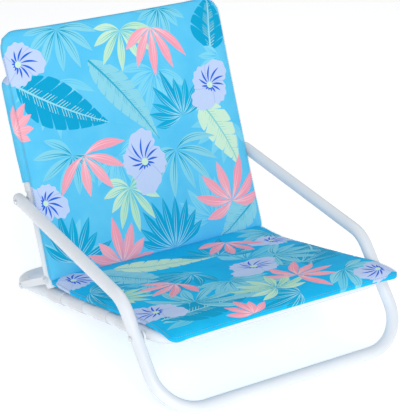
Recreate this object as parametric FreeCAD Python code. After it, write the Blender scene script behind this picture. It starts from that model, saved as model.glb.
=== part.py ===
import FreeCAD, Part
import math
import os

# Low folding beach chair, millimetres. +Z is up, the sitter faces -Y and X runs side to side.
# The origin is on the ground, under the middle of the chair's overall box.

# Driving dimensions: the painted steel tubes
TUBE_D = 22.0
TUBE_WALL = 1.2
ARM_X = 244.0              # centreline of each arm and leg, from the middle
SIDE_GAP = 3.6             # room for washers between the leg frame and the seat rail
REAR_BAR_Y = 295.45        # seat frame's rear bar, lying on the ground
FRONT_BAR_Y = -262.75
FRONT_BAR_Z = 129.0
LEG_BAR_Y = -295.45        # leg frame's ground bar
ARM_BEND_Y = -162.0
ARM_BEND_Z = 166.6
FRONT_CORNER_R = 48.0
REAR_CORNER_R = 50.0
FOOT_CORNER_R = 76.0
ARM_BEND_R = 58.0
BACK_CORNER_R = 32.0

# Driving dimensions: the four-bar linkage (Y, Z of the pivots that are not worked out below)
LINK_PIVOT_Y = 246.0       # link on the seat rail; its height follows from the rail
BACK_PIVOT = (145.75, 72.4)    # link on the backrest tube
ARM_PIVOT = (202.2, 210.1)     # arm on the backrest tube
LINK_WIDTH = 13.0
LINK_THICK = 2.0
WASHER_THICK = 1.1
WASHER_D = 15.0

# Driving dimensions: fasteners
RIVET_D = 6.0
RIVET_HEAD_D = 9.4
RIVET_HEAD = 2.0
RUNNING_FIT = 0.06         # radial clearance of a rivet in a part that turns on it
HAIR = 0.3                 # gap between neighbours that slide past each other

# Driving dimensions: swaged joint of the two seat bows
SPIGOT_LENGTH = 40.0
SEAM_AHEAD = 7.0           # seam in front of the leg pivot
SEAM_GAP = 0.4

# Driving dimensions: webbing
STRAP_WIDTH = 50.0
STRAP_THICK = 1.5
SEAT_STRAPS = (116.0, 34.2, -54.1, -137.6)   # centres along the rail, from its point over Y = 0
BACK_STRAPS = (161.5, 228.0, 292.0)          # lower edges, up the backrest from its link pivot
BACK_STRAP_WIDTH = 34.0

# Driving dimensions: cushions
PAD_THICK = 17.0
COVER = 1.0
PAD_EDGE_R = 7.0
SEAT_PAD_HALF = 224.0
SEAT_PAD_REAR = 116.0
SEAT_PAD_FRONT = -299.0
SEAT_PAD_CORNER = 28.0
BACK_PAD_HALF = 226.0
BACK_PAD_LOW = 3.0
BACK_PAD_TOP = 456.0
BACK_PAD_CORNER = 25.0

# Driving dimensions: pocket at the back of the backrest
HOOD_LOW = 180.0
HOOD_TOP = 374.0
HOOD_CLOTH = 1.2

TUBE_R = TUBE_D / 2
RAIL_X = ARM_X - TUBE_D - SIDE_GAP
RIVET_R = RIVET_D / 2
X_AXIS = FreeCAD.Vector(1, 0, 0)
SIDES = (-1, 1)


def vec(x, y, z):
    return FreeCAD.Vector(x, y, z)


def crossing(a, b, c, d):
    """Point where line a-b meets line c-d, in (Y, Z)."""
    ux, uy = b[0] - a[0], b[1] - a[1]
    vx, vy = d[0] - c[0], d[1] - c[1]
    t = ((c[0] - a[0]) * vy - (c[1] - a[1]) * vx) / (ux * vy - uy * vx)
    return (a[0] + ux * t, a[1] + uy * t)


def rounded_path(points, radii):
    """Straight runs through the points, with a tangent arc of the given radius at each inner one."""
    edges = []
    start = points[0]
    for before, corner, after, radius in zip(points, points[1:], points[2:], radii):
        back = (before - corner).normalize()
        ahead = (after - corner).normalize()
        half = back.getAngle(ahead) / 2
        run = radius / math.tan(half)
        centre = corner + (back + ahead).normalize() * (radius / math.sin(half))
        middle = centre + (corner - centre).normalize() * radius
        first = corner + back * run
        last = corner + ahead * run
        edges.append(Part.makeLine(start, first))
        edges.append(Part.Arc(first, middle, last).toShape())
        start = last
    edges.append(Part.makeLine(start, points[-1]))
    return Part.Wire(edges)


def swept(path, diameter):
    """Round bar of the given diameter along a path."""
    first = path.OrderedEdges[0]
    start = first.valueAt(first.FirstParameter)
    along = first.tangentAt(first.FirstParameter)
    ring = Part.Wire([Part.makeCircle(diameter / 2, start, along)])
    bar = path.makePipeShell([ring], True, True)
    if bar.Volume < 0:
        bar.reverse()
    return bar


def tube(path):
    """Tube of the driving diameter and wall along a path."""
    return swept(path, TUBE_D).cut(swept(path, TUBE_D - 2 * TUBE_WALL))


def cross_bar(y, z, radius, x_low, x_high):
    """Cylinder along X, for pivot holes, shanks, washers and heads."""
    return Part.makeCylinder(radius, x_high - x_low, vec(x_low, y, z), X_AXIS)


def cross_pair(y, z, radius, inner, outer):
    """The same cylinder on the left and on the right, from inner to outer distance."""
    return [cross_bar(y, z, radius, min(s * inner, s * outer), max(s * inner, s * outer)) for s in SIDES]


def rivet(side, y, z, inner, outer, heads):
    """Shank from the inner to the outer face, with a domed head past each end that heads names."""
    low, high = sorted((side * inner, side * outer))
    shape = cross_bar(y, z, RIVET_R, low, high)
    for end in heads:
        way = side if end == "outer" else -side
        face = high if way > 0 else low
        crown = face + way * RIVET_HEAD
        head = cross_bar(y, z, RIVET_HEAD_D / 2, min(face, crown), max(face, crown))
        rim = [e for e in head.Edges if abs(e.CenterOfMass.x - crown) < 0.01]
        shape = shape.fuse(head.makeFillet(RIVET_HEAD * 0.7, rim))
    return shape.removeSplitter()


def rivets(y, z, inner, outer, heads=("inner", "outer")):
    """The same rivet on both sides of the chair."""
    return Part.makeCompound([rivet(s, y, z, inner, outer, heads) for s in SIDES])


def washers(y, z, inner, outer):
    """Ring round a pivot on each side of the chair."""
    rings = cross_pair(y, z, WASHER_D / 2, inner, outer)
    holes = cross_pair(y, z, RIVET_R + RUNNING_FIT, inner - 1, outer + 1)
    return Part.makeCompound([ring.cut(hole) for ring, hole in zip(rings, holes)])


def frame_of(origin, along, up):
    """Placement whose local Y runs along the first direction and local Z along the second, both in (Y, Z)."""
    matrix = FreeCAD.Matrix(
        1, 0, 0, 0,
        0, along[0], up[0], origin[0],
        0, along[1], up[1], origin[1],
        0, 0, 0, 1)
    return FreeCAD.Placement(matrix)


def placed(shape, placement):
    moved = shape.copy()
    moved.Placement = placement
    return moved


def rounded_plate(half_width, low, high, low_r, high_r, z_low, z_high):
    """Flat plate in local X-Y with its own corner radius at each end."""
    corners = [
        (vec(half_width, low, z_low), low_r),
        (vec(half_width, high, z_low), high_r),
        (vec(-half_width, high, z_low), high_r),
        (vec(-half_width, low, z_low), low_r)]
    middle = vec(0, low, z_low)
    points = [middle] + [c for c, _ in corners] + [middle]
    outline = rounded_path(points, [r for _, r in corners])
    return Part.Face(outline).extrude(vec(0, 0, z_high - z_low))


def cushion(half_width, low, high, low_r, high_r, z_low, z_high, inset):
    """Cushion with rounded edges; inset makes the filling that its cover goes round."""
    plate = rounded_plate(
        half_width - inset, low + inset, high - inset,
        low_r - inset, high_r - inset, z_low + inset, z_high - inset)
    rims = [e for e in plate.Edges if abs(e.BoundBox.ZLength) < 0.01]
    return plate.makeFillet(PAD_EDGE_R - inset, rims)


def cover_half(outer, filling, keep):
    """The part of a cover on one side of its edge seam."""
    return outer.common(keep).cut(filling)


def slab(z_low, z_high):
    """Large block between two heights of a local frame."""
    reach = 1000.0
    return Part.makeBox(2 * reach, 2 * reach, z_high - z_low, vec(-reach, -reach, z_low))


def webbing_loop(centre, width):
    """Band wrapped round both tubes of a frame at local X = +-RAIL_X, with one run across between them."""
    outer_r = TUBE_R + STRAP_THICK
    low = centre - width / 2
    y_axis = vec(0, 1, 0)
    wraps = [Part.makeCylinder(outer_r, width, vec(s * RAIL_X, low, 0), y_axis) for s in SIDES]
    tubes = [Part.makeCylinder(TUBE_R, width, vec(s * RAIL_X, low, 0), y_axis) for s in SIDES]
    across = Part.makeBox(2 * RAIL_X, width, STRAP_THICK, vec(-RAIL_X, low, TUBE_R))
    return across.fuse(wraps).cut(tubes).removeSplitter()


# Pivots and directions worked out from the driving dimensions
rail_front = (FRONT_BAR_Y, FRONT_BAR_Z)
rail_rear = (REAR_BAR_Y, TUBE_R)
arm_bend = (ARM_BEND_Y, ARM_BEND_Z)
foot = (LEG_BAR_Y, TUBE_R)
rail_slope = (rail_front[1] - rail_rear[1]) / (rail_rear[0] - rail_front[0])


def rail_height(y):
    return rail_front[1] - (y - rail_front[0]) * rail_slope


leg_pivot = crossing(arm_bend, foot, rail_front, rail_rear)
link_pivot = (LINK_PIVOT_Y, rail_height(LINK_PIVOT_Y))
rail_angle = math.atan(rail_slope)
back_lean = math.atan2(ARM_PIVOT[0] - BACK_PIVOT[0], ARM_PIVOT[1] - BACK_PIVOT[1])
arm_angle = math.atan2(ARM_PIVOT[1] - ARM_BEND_Z, ARM_PIVOT[0] - ARM_BEND_Y)

# Local frame of the seat: Y down the rails to the rear, Z square to them, upward
SEAT = frame_of(
    (0, rail_height(0)),
    (math.cos(rail_angle), -math.sin(rail_angle)),
    (math.sin(rail_angle), math.cos(rail_angle)))
# Local frame of the backrest: Y up the tubes from the link pivot, Z towards the sitter
BACK = frame_of(
    BACK_PIVOT,
    (math.sin(back_lean), math.cos(back_lean)),
    (-math.cos(back_lean), math.sin(back_lean)))


def rail_point(side, y):
    return vec(side * RAIL_X, y, rail_height(y))


def necked_end(side, corner_end_y, seam_y):
    """Straight end of the front bow, turned down past its shoulder to plug into the rear bow."""
    start = rail_point(side, corner_end_y)
    along = (rail_point(side, seam_y) - start).normalize()
    shoulder = start.distanceToPoint(rail_point(side, seam_y))
    tip = shoulder + SPIGOT_LENGTH
    bore = TUBE_R - TUBE_WALL
    neck = bore - 0.02
    outline = [
        (bore, 0), (TUBE_R, 0), (TUBE_R, shoulder), (neck, shoulder),
        (neck, tip), (neck - TUBE_WALL, tip), (neck - TUBE_WALL, shoulder - TUBE_WALL),
        (bore, shoulder - TUBE_WALL), (bore, 0)]
    profile = Part.makePolygon([start + X_AXIS * radius + along * run for radius, run in outline])
    return Part.Face(profile).revolve(start, along, 360)


def seat_bows():
    """Front and rear bow of the seat frame; the front one's necked ends plug into the rear one."""
    seam_y = leg_pivot[0] - SEAM_AHEAD * math.cos(rail_angle)
    corner_end_y = FRONT_BAR_Y + (FRONT_CORNER_R + 1) * math.cos(rail_angle)
    front_points, rear_points = [], []
    for s in SIDES:
        front_points += [rail_point(s, corner_end_y), rail_point(s, FRONT_BAR_Y)][::-s]
        rear_points += [rail_point(s, seam_y + SEAM_GAP), rail_point(s, REAR_BAR_Y)][::-s]
    front = tube(rounded_path(front_points, [FRONT_CORNER_R] * 2))
    front = front.fuse([necked_end(s, corner_end_y, seam_y) for s in SIDES]).removeSplitter()
    rear = tube(rounded_path(rear_points, [REAR_CORNER_R] * 2))
    leg_holes = cross_pair(*leg_pivot, RIVET_R, RAIL_X - TUBE_D, RAIL_X + TUBE_D)
    link_holes = cross_pair(*link_pivot, RIVET_R, RAIL_X - TUBE_D, RAIL_X + TUBE_D)
    return front.cut(leg_holes), rear.cut(leg_holes + link_holes)


def leg_arm_frame():
    """One tube: arm, bend, front leg and ground bar, mirrored to the other side."""
    tip_run = 8.0
    tip = (ARM_PIVOT[0] + tip_run * math.cos(arm_angle), ARM_PIVOT[1] + tip_run * math.sin(arm_angle))
    points = []
    for s in SIDES:
        half = [vec(s * ARM_X, *tip), vec(s * ARM_X, *arm_bend), vec(s * ARM_X, *foot)]
        points += half[::-s]
    frame = tube(rounded_path(points, [ARM_BEND_R, FOOT_CORNER_R, FOOT_CORNER_R, ARM_BEND_R]))
    holes = cross_pair(*leg_pivot, RIVET_R + RUNNING_FIT, ARM_X - TUBE_D, ARM_X + TUBE_D)
    holes += cross_pair(*ARM_PIVOT, RIVET_R, ARM_X - TUBE_D, ARM_X + TUBE_D)
    along = vec(0, math.cos(arm_angle), math.sin(arm_angle))
    caps = []
    for s in SIDES:
        end = vec(s * ARM_X, *tip)
        dome = Part.makeSphere(TUBE_R, end).common(Part.makeCylinder(TUBE_D, TUBE_D, end, along))
        plug = Part.makeCylinder(TUBE_R - TUBE_WALL - 0.02, 3.0, end - along * 3.0, along)
        caps.append(dome.fuse(plug).removeSplitter())
    return frame.cut(holes), Part.makeCompound(caps)


def back_frame():
    """Inverted U of tube behind the back cushion, resting on the seat rails."""
    below = 14.4
    bar = HOOD_TOP - HOOD_CLOTH - TUBE_R - 1.5
    points = []
    for s in SIDES:
        points += [vec(s * RAIL_X, -below, 0), vec(s * RAIL_X, bar, 0)][::-s]
    frame = tube(rounded_path(points, [BACK_CORNER_R] * 2))
    frame = placed(frame, BACK)
    holes = cross_pair(*BACK_PIVOT, RIVET_R, RAIL_X - TUBE_D, RAIL_X + TUBE_D)
    holes += cross_pair(*ARM_PIVOT, RIVET_R, RAIL_X - TUBE_D, RAIL_X + TUBE_D)
    plugs = []
    for s in SIDES:
        stem = Part.makeCylinder(TUBE_R - TUBE_WALL - 0.02, 4.0, vec(s * RAIL_X, -below, 0), vec(0, 1, 0))
        disc = Part.makeCylinder(TUBE_R, 1.4, vec(s * RAIL_X, -below - 1.4, 0), vec(0, 1, 0))
        plugs.append(placed(stem.fuse(disc), BACK))
    return frame.cut(holes), Part.makeCompound(plugs)


def link(side):
    """Flat steel bar with round ends, between the rail and the backrest tube."""
    inner = RAIL_X + TUBE_R + 0.1 + WASHER_THICK + 0.1
    low, high = sorted((side * inner, side * (inner + LINK_THICK)))
    a = vec(low, *link_pivot)
    b = vec(low, *BACK_PIVOT)
    along = (b - a).normalize()
    across = X_AXIS.cross(along) * (LINK_WIDTH / 2)
    sides = [Part.makeLine(a + across, b + across), Part.makeLine(b - across, a - across)]
    ends = [
        Part.Arc(b + across, b + along * (LINK_WIDTH / 2), b - across).toShape(),
        Part.Arc(a - across, a - along * (LINK_WIDTH / 2), a + across).toShape()]
    outline = Part.Wire([sides[0], ends[0], sides[1], ends[1]])
    bar = Part.Face(outline).extrude(vec(high - low, 0, 0))
    holes = [cross_bar(p[0], p[1], RIVET_R + RUNNING_FIT, low - 1, high + 1) for p in (link_pivot, BACK_PIVOT)]
    return bar.cut(holes)


def seat_cushion():
    """Foam, printed top panel and plain base panel, joined at half height by the edge seam."""
    low = TUBE_R + STRAP_THICK + HAIR
    sizes = (SEAT_PAD_HALF, SEAT_PAD_FRONT, SEAT_PAD_REAR, SEAT_PAD_CORNER, 9.0, low, low + PAD_THICK)
    outer = cushion(*sizes, 0)
    foam = cushion(*sizes, COVER)
    seam = low + PAD_THICK / 2
    top = cover_half(outer, foam, slab(seam, seam + 100))
    base = cover_half(outer, foam, slab(seam - 100, seam))
    return [placed(shape, SEAT) for shape in (foam, top, base)]


def back_cushion():
    """The same three layers for the backrest, standing 90 mm above its frame."""
    low = TUBE_R + STRAP_THICK + HAIR
    sizes = (BACK_PAD_HALF, BACK_PAD_LOW, BACK_PAD_TOP, 9.0, BACK_PAD_CORNER, low, low + PAD_THICK)
    outer = cushion(*sizes, 0)
    foam = cushion(*sizes, COVER)
    seam = low + PAD_THICK / 2
    front = cover_half(outer, foam, slab(seam, seam + 100))
    rear = cover_half(outer, foam, slab(seam - 100, seam))
    return [placed(shape, BACK) for shape in (foam, front, rear)]


def hood():
    """Pocket that slips over the top of the back frame: a rear panel and a boxing strip round it."""
    inner_half = RAIL_X + TUBE_R + STRAP_THICK + HAIR
    rear = -(TUBE_R + STRAP_THICK + HAIR)
    front = TUBE_R + STRAP_THICK + HAIR - 0.1
    corner = BACK_CORNER_R * 0.5
    outer_half = inner_half + HOOD_CLOTH
    panel = rounded_plate(outer_half, HOOD_LOW, HOOD_TOP, 1.0, corner, rear - HOOD_CLOTH, rear)
    block = rounded_plate(outer_half, HOOD_LOW, HOOD_TOP, 1.0, corner, rear + 0.02, front)
    inside = rounded_plate(
        inner_half, HOOD_LOW - 20, HOOD_TOP - HOOD_CLOTH, 1.0, corner - HOOD_CLOTH, rear, front + 1)
    return placed(panel, BACK), placed(block.cut(inside), BACK)


nodes = {}
nodes["seat_front_bow"], nodes["seat_rear_bow"] = seat_bows()
nodes["leg_arm_frame"], nodes["arm_end_caps"] = leg_arm_frame()
nodes["back_frame"], nodes["back_frame_plugs"] = back_frame()
nodes["link_left"] = link(-1)
nodes["link_right"] = link(1)

rail_inner = RAIL_X - TUBE_R
rail_outer = RAIL_X + TUBE_R
arm_inner = ARM_X - TUBE_R
arm_outer = ARM_X + TUBE_R
link_outer = rail_outer + 0.2 + WASHER_THICK + LINK_THICK
nodes["leg_pivot_rivets"] = rivets(*leg_pivot, rail_inner, arm_outer + 0.15)
nodes["leg_pivot_washers"] = washers(*leg_pivot, rail_outer, arm_inner - 0.2)
nodes["arm_pivot_rivets"] = rivets(*ARM_PIVOT, arm_inner - HAIR, arm_outer, ["outer"])
nodes["arm_pivot_rivet_tails"] = rivets(*ARM_PIVOT, rail_inner, rail_outer + 1.6, ["inner"])
nodes["arm_pivot_washers"] = washers(*ARM_PIVOT, rail_outer, rail_outer + WASHER_THICK)
nodes["link_pivot_rivets"] = rivets(*link_pivot, rail_inner, link_outer + 0.15)
nodes["link_pivot_washers"] = washers(*link_pivot, rail_outer, rail_outer + WASHER_THICK)
nodes["back_pivot_rivets"] = rivets(*BACK_PIVOT, rail_inner, link_outer + 0.15)
nodes["back_pivot_washers"] = washers(*BACK_PIVOT, rail_outer, rail_outer + WASHER_THICK)

for number, centre in enumerate(SEAT_STRAPS, 1):
    nodes[f"seat_strap_{number}"] = placed(webbing_loop(centre, STRAP_WIDTH), SEAT)
for number, low in enumerate(BACK_STRAPS, 1):
    band = webbing_loop(low + BACK_STRAP_WIDTH / 2, BACK_STRAP_WIDTH)
    nodes[f"back_strap_{number}"] = placed(band, BACK)

nodes["seat_foam"], nodes["seat_cover_top"], nodes["seat_cover_base"] = seat_cushion()
nodes["back_foam"], nodes["back_cover_front"], nodes["back_cover_rear"] = back_cushion()
nodes["hood_rear_panel"], nodes["hood_boxing"] = hood()

os.makedirs("parts", exist_ok=True)
for name, shape in nodes.items():
    shape.exportStep(f"parts/{name}.step")
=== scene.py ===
import math

import bmesh
import bpy
from mathutils import Matrix, Vector, noise
from mathutils.bvhtree import BVHTree


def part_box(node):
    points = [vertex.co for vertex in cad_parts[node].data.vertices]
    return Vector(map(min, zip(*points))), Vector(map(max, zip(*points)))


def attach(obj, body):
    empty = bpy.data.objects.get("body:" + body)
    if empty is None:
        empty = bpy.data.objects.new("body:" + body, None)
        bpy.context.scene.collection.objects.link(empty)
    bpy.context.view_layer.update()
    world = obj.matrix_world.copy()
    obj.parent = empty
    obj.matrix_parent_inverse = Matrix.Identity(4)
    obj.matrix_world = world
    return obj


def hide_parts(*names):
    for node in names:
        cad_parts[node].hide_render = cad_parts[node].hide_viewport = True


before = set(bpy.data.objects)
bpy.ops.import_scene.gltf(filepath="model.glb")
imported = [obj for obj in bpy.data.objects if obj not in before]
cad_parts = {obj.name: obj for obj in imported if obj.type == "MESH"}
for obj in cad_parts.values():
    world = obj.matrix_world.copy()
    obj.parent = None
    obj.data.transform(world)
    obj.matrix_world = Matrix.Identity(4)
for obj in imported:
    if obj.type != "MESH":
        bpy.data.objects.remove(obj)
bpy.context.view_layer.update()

# ----------------------------------------
# Bent tubes of the chair: the two seat bows, the one-piece arm and front leg, and the back bow.
# 22 mm steel tube with a white satin powder coat, which has a fine orange-peel texture.
# Their shapes come from the CAD model, so only the paint is made here.
tube_white = (0.77, 0.805, 0.845, 1.0)
tube_shade = (0.68, 0.72, 0.77, 1.0)


def node(tree, kind, inputs=None, **settings):
    """New shader node with its settings, and its inputs set to values or joined to other nodes' outputs."""
    made = tree.nodes.new("ShaderNode" + kind)
    for setting, value in settings.items():
        setattr(made, setting, value)
    for socket, value in (inputs or {}).items():
        if isinstance(value, bpy.types.NodeSocket):
            tree.links.new(value, made.inputs[socket])
        else:
            made.inputs[socket].default_value = value
    return made


def maths(tree, operation, a, b=0.0, c=0.0, clamp=False):
    """Output of a Math node."""
    return node(tree, "Math", {0: a, 1: b, 2: c}, operation=operation, use_clamp=clamp).outputs[0]


def times(tree, a, b):
    """a times b."""
    return maths(tree, "MULTIPLY", a, b)


def times_plus(tree, a, b, c, clamp=False):
    """a times b, plus c."""
    return maths(tree, "MULTIPLY_ADD", a, b, c, clamp)


def mixed(tree, share, a, b):
    """Colour a turned into colour b by share."""
    made = node(tree, "Mix", {0: share, 6: a, 7: b}, data_type="RGBA")
    return made.outputs[2]


def finish(name, roughness, sheen=0.0, coat=0.0, metallic=0.0):
    """Material with its shader and the place on the object that its patterns start from."""
    material = bpy.data.materials.new(name)
    material.use_nodes = True
    tree = material.node_tree
    tree.nodes.clear()
    place = node(tree, "TexCoord").outputs["Object"]
    shader = node(tree, "BsdfPrincipled", {
        "Roughness": roughness, "Metallic": metallic, "Sheen Weight": sheen, "Coat Weight": coat})
    output = node(tree, "OutputMaterial")
    tree.links.new(shader.outputs[0], output.inputs[0])
    return material, tree, place, shader


def grain(tree, place, scale, detail=2.0, roughness=0.5):
    """Cloudy pattern, from 0 to 1, with scale patches to the metre."""
    return node(tree, "TexNoise", {
        "Vector": place, "Scale": scale, "Detail": detail, "Roughness": roughness}).outputs[0]


def ranged(tree, value, low, high, to_low=0.0, to_high=1.0):
    """Value between low and high, spread between two others."""
    return node(tree, "MapRange", {0: value, 1: low, 2: high, 3: to_low, 4: to_high}).outputs[0]


def joined(tree, shader, colour, height, strength, distance, gloss=None):
    """Joins a finish's colour, its bump and, where it varies, its gloss to the shader."""
    bump = node(tree, "Bump", {"Strength": strength, "Distance": distance, "Height": height})
    tree.links.new(colour, shader.inputs["Base Color"])
    if gloss:
        tree.links.new(gloss, shader.inputs["Roughness"])
    tree.links.new(bump.outputs[0], shader.inputs["Normal"])


def painted(name, light, shade, roughness):
    """Powder coat: two near whites in soft patches, uneven gloss and a fine orange-peel bump."""
    material, tree, place, shader = finish(name, roughness, coat=0.12)
    shader.inputs["Coat Roughness"].default_value = 0.25
    patches = grain(tree, place, 14.0, 3.0)
    scuffed = ranged(tree, grain(tree, place, 160.0, 4.0, 0.7), 0.66, 0.80, 0.0, 0.35)
    colour = mixed(tree, patches, light, shade)
    colour = mixed(tree, scuffed, colour, (0.60, 0.62, 0.65, 1.0))
    gloss = ranged(tree, patches, 0.3, 0.7, roughness - 0.05, roughness + 0.08)
    joined(tree, shader, colour, grain(tree, place, 900.0), 0.10, 0.0003, gloss)
    return material


def dress(names, material):
    """Gives CAD nodes a material."""
    for name in names:
        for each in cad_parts[name].material_slots:
            each.material = material


dress(["seat_front_bow", "seat_rear_bow", "leg_arm_frame", "back_frame"],
      painted("tube_powder_coat", tube_white, tube_shade, 0.34))

# ----------------------------------------
# Closed ends: the domed tips of the two arms, and the discs in the lower ends of the back bow.
# The arm tips are painted with the tube; the discs are moulded nylon pushed into the bore.
dress(["arm_end_caps"], painted("arm_tip_coat", tube_white, tube_shade, 0.36))


def moulded(name, colour, roughness):
    """Moulded nylon: even colour with a fine matt texture from the tool."""
    material, tree, place, shader = finish(name, roughness)
    speckle = grain(tree, place, 420.0, 3.0)
    darker = tuple(c * 0.93 for c in colour[:3]) + (1.0,)
    joined(tree, shader, mixed(tree, speckle, colour, darker), speckle, 0.15, 0.0002)
    return material


nylon = moulded("nylon_white", (0.78, 0.80, 0.83, 1.0), 0.48)
dress(["back_frame_plugs"], nylon)

# ----------------------------------------
# Folding links, rivets and washers. Each link is a flat bar punched from sheet and painted white;
# the rivets are zinc-plated steel with turned heads, over white nylon washers.
dress(["link_left", "link_right"], painted("link_powder_coat", (0.76, 0.79, 0.83, 1.0), tube_shade, 0.38))


def plated(name, pivot_nodes):
    """Zinc plate with faint turning rings round each rivet's own axis."""
    material, tree, place, shader = finish(name, 0.36, metallic=0.75)
    low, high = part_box(pivot_nodes)
    centre = [-(a + b) / 2 for a, b in zip(low, high)]
    around = node(tree, "VectorMath", {0: place, 1: (0.0, centre[1], centre[2])}, operation="ADD")
    apart = node(tree, "SeparateXYZ", {0: around.outputs[0]})
    flat = node(tree, "CombineXYZ", {1: apart.outputs[1], 2: apart.outputs[2]})
    radius = node(tree, "VectorMath", {0: flat.outputs[0]}, operation="LENGTH").outputs[1]
    rings = maths(tree, "SINE", times(tree, radius, 14000.0))
    tarnish = grain(tree, place, 300.0, 4.0)
    colour = mixed(tree, tarnish, (0.62, 0.64, 0.67, 1.0), (0.78, 0.80, 0.82, 1.0))
    joined(tree, shader, colour, rings, 0.12, 0.0001)
    return material


for pivot in ("leg_pivot_rivets", "arm_pivot_rivets", "arm_pivot_rivet_tails", "link_pivot_rivets",
              "back_pivot_rivets"):
    dress([pivot], plated(pivot + "_zinc", pivot))
dress(["leg_pivot_washers", "arm_pivot_washers", "link_pivot_washers", "back_pivot_washers"], nylon)

# ----------------------------------------
# Seat webbing: four white polyester bands, 50 mm wide, each wrapped round both rails and sewn
# back on itself underneath with a boxed cross of thread. They are taut and carry the seat cushion.
rear_low, rear_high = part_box("seat_rear_bow")
front_low, front_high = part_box("seat_front_bow")
tube_radius = 0.011
rail_half = rear_high.x - tube_radius
rail_rear = Vector((0, rear_high.y - tube_radius, rear_low.z + tube_radius))
rail_front = Vector((0, front_low.y + tube_radius, front_high.z - tube_radius))
rail_way = (rail_rear - rail_front).normalized()
rail_up = Vector((1, 0, 0)).cross(rail_way)
rail_start = rail_front + rail_way * (-rail_front.y / rail_way.y)
band_thick = 0.0015
seat_band_width = 0.050
seat_band_sag = 0.0018
band_tail = 0.032
band_stitch, band_stitch_gap, band_thread_radius = 0.0028, 0.0009, 0.00035


def tilted(start, way, out):
    """Frame of a tilted part: y runs along way, and z stands out from it."""
    return Matrix((
        (1, way.x, out.x, start.x),
        (0, way.y, out.y, start.y),
        (0, way.z, out.z, start.z),
        (0, 0, 0, 1)))


seat_place = tilted(rail_start, rail_way, rail_up)


def mesh_piece(name, mesh, material, body):
    """Object for a new piece, smooth-shaded, riding on its body."""
    mesh.name = name
    piece = bpy.data.objects.new(name, mesh)
    bpy.context.scene.collection.objects.link(piece)
    for face in mesh.polygons:
        face.use_smooth = True
    mesh.materials.append(material)
    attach(piece, body)
    return piece


def webbing(name, white, shade):
    """Woven band: ribs along it, picks across it, a soft sheen, a little soiling, and painted shade in the
    hollows of the weave.
    """
    material, tree, place, shader = finish(name, 0.72, sheen=0.25)
    shader.inputs["Sheen Roughness"].default_value = 0.5
    apart = node(tree, "SeparateXYZ", {0: place})
    ribs = maths(tree, "SINE", times(tree, apart.outputs[1], 2 * math.pi / 0.0016))
    picks = maths(tree, "SINE", times(tree, apart.outputs[0], 2 * math.pi / 0.0011))
    weave = times_plus(tree, ribs, picks, times(tree, ribs, 0.8))
    grime = ranged(tree, grain(tree, place, 30.0, 5.0, 0.6), 0.35, 0.75)
    colour = mixed(tree, grime, white, shade)
    # Painted shade: the colour darkens to grey where the weave's bump is low, in the hollows between ribs and
    # picks.
    weave_hollow_shade = ranged(tree, weave, -1.6, 0.6, 0.30, 0.0)
    colour = mixed(tree, weave_hollow_shade, colour, (0.56, 0.58, 0.62, 1.0))
    joined(tree, shader, colour, weave, 0.35, 0.0004)
    return material


def thread(name, colour):
    """Twisted sewing thread: a fine slanted twist in its bump, with painted shade in the grooves of the twist.
    """
    material, tree, place, shader = finish(name, 0.6, sheen=0.2)
    twist = node(tree, "TexWave", {"Vector": place, "Scale": 900.0, "Distortion": 1.0},
                 bands_direction="DIAGONAL")
    # Painted shade: the colour darkens where the twist's bump is low, in its grooves.
    twist_groove_shade = tuple(c * 0.8 for c in colour[:3]) + (1.0,)
    joined(tree, shader, mixed(tree, twist.outputs[1], twist_groove_shade, colour), twist.outputs[1], 0.3, 0.0001)
    return material


band_white = webbing("webbing_white", (0.76, 0.79, 0.83, 1.0), (0.68, 0.71, 0.76, 1.0))
band_thread = thread("webbing_thread", (0.86, 0.87, 0.88, 1.0))


def skin(shape, rings, ends=True):
    """Faces between closed rings of points, and the flat ends."""
    count = len(rings[0])
    for first, second in zip(rings, rings[1:]):
        for k in range(count):
            shape.faces.new((first[k], first[(k + 1) % count], second[(k + 1) % count], second[k]))
    if ends:
        shape.faces.new(rings[0][::-1])
        shape.faces.new(rings[-1])


def as_mesh(shape, name, outward=False):
    """The shape as a mesh, with its faces turned outwards if asked."""
    if outward:
        bmesh.ops.recalc_face_normals(shape, faces=shape.faces)
    mesh = bpy.data.meshes.new(name)
    shape.to_mesh(mesh)
    shape.free()
    return mesh


def band_route(half, sag):
    """Route of a band in (x, height): its sewn tail under the right end, round both tubes, and back."""
    radius = tube_radius + band_thick / 2
    under = radius - band_thick - 0.0002
    side = []
    for step in range(7):
        sag_under = 0.0004 * math.sin(math.pi * step / 6)
        side.append((half - radius - band_tail * (1 - step / 6), under - sag_under))
    for step in range(29):
        turn = math.radians(150 + 300 * step / 28)
        side.append((half + radius * math.cos(turn), radius * math.sin(turn)))
    side = [p for k, p in enumerate(side) if k < 7 or k > 8]
    across = []
    for step in range(1, 24):
        share = step / 24
        across.append((half * (1 - 2 * share), radius - sag * math.sin(math.pi * share) ** 0.7))
    right = side[:-1] + [(half, radius)]
    return right, across


def band_mesh(half, width, sag):
    """Closed band with rounded selvedges, in (x, along the rail, height)."""
    right, across = band_route(half, sag)
    right = [p for p in right if not (p[0] < half and p[1] > tube_radius + band_thick / 2 + 1e-6)]
    route = right + across + [(-x, z) for x, z in reversed(right)]
    shape = bmesh.new()
    profile = [(-0.5, 0.0), (-0.49, 0.32), (-0.47, 0.5), (-0.38, 0.46), (-0.2, 0.44), (0.0, 0.44), (0.2, 0.44),
               (0.38, 0.46), (0.47, 0.5), (0.49, 0.32)]
    profile += [(-a, -b) for a, b in profile]
    rings = []
    for k, (x, z) in enumerate(route):
        ahead = route[min(k + 1, len(route) - 1)]
        behind = route[max(k - 1, 0)]
        way = Vector((ahead[0] - behind[0], 0, ahead[1] - behind[1])).normalized()
        out = Vector((-way.z, 0, way.x)) * -1
        rings.append([shape.verts.new(Vector((x, a * width, z)) + out * (b * band_thick)) for a, b in profile])
    skin(shape, rings)
    length = sum(math.dist(a, b) for a, b in zip(route, route[1:]))
    return as_mesh(shape, "band", outward=True), length


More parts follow.
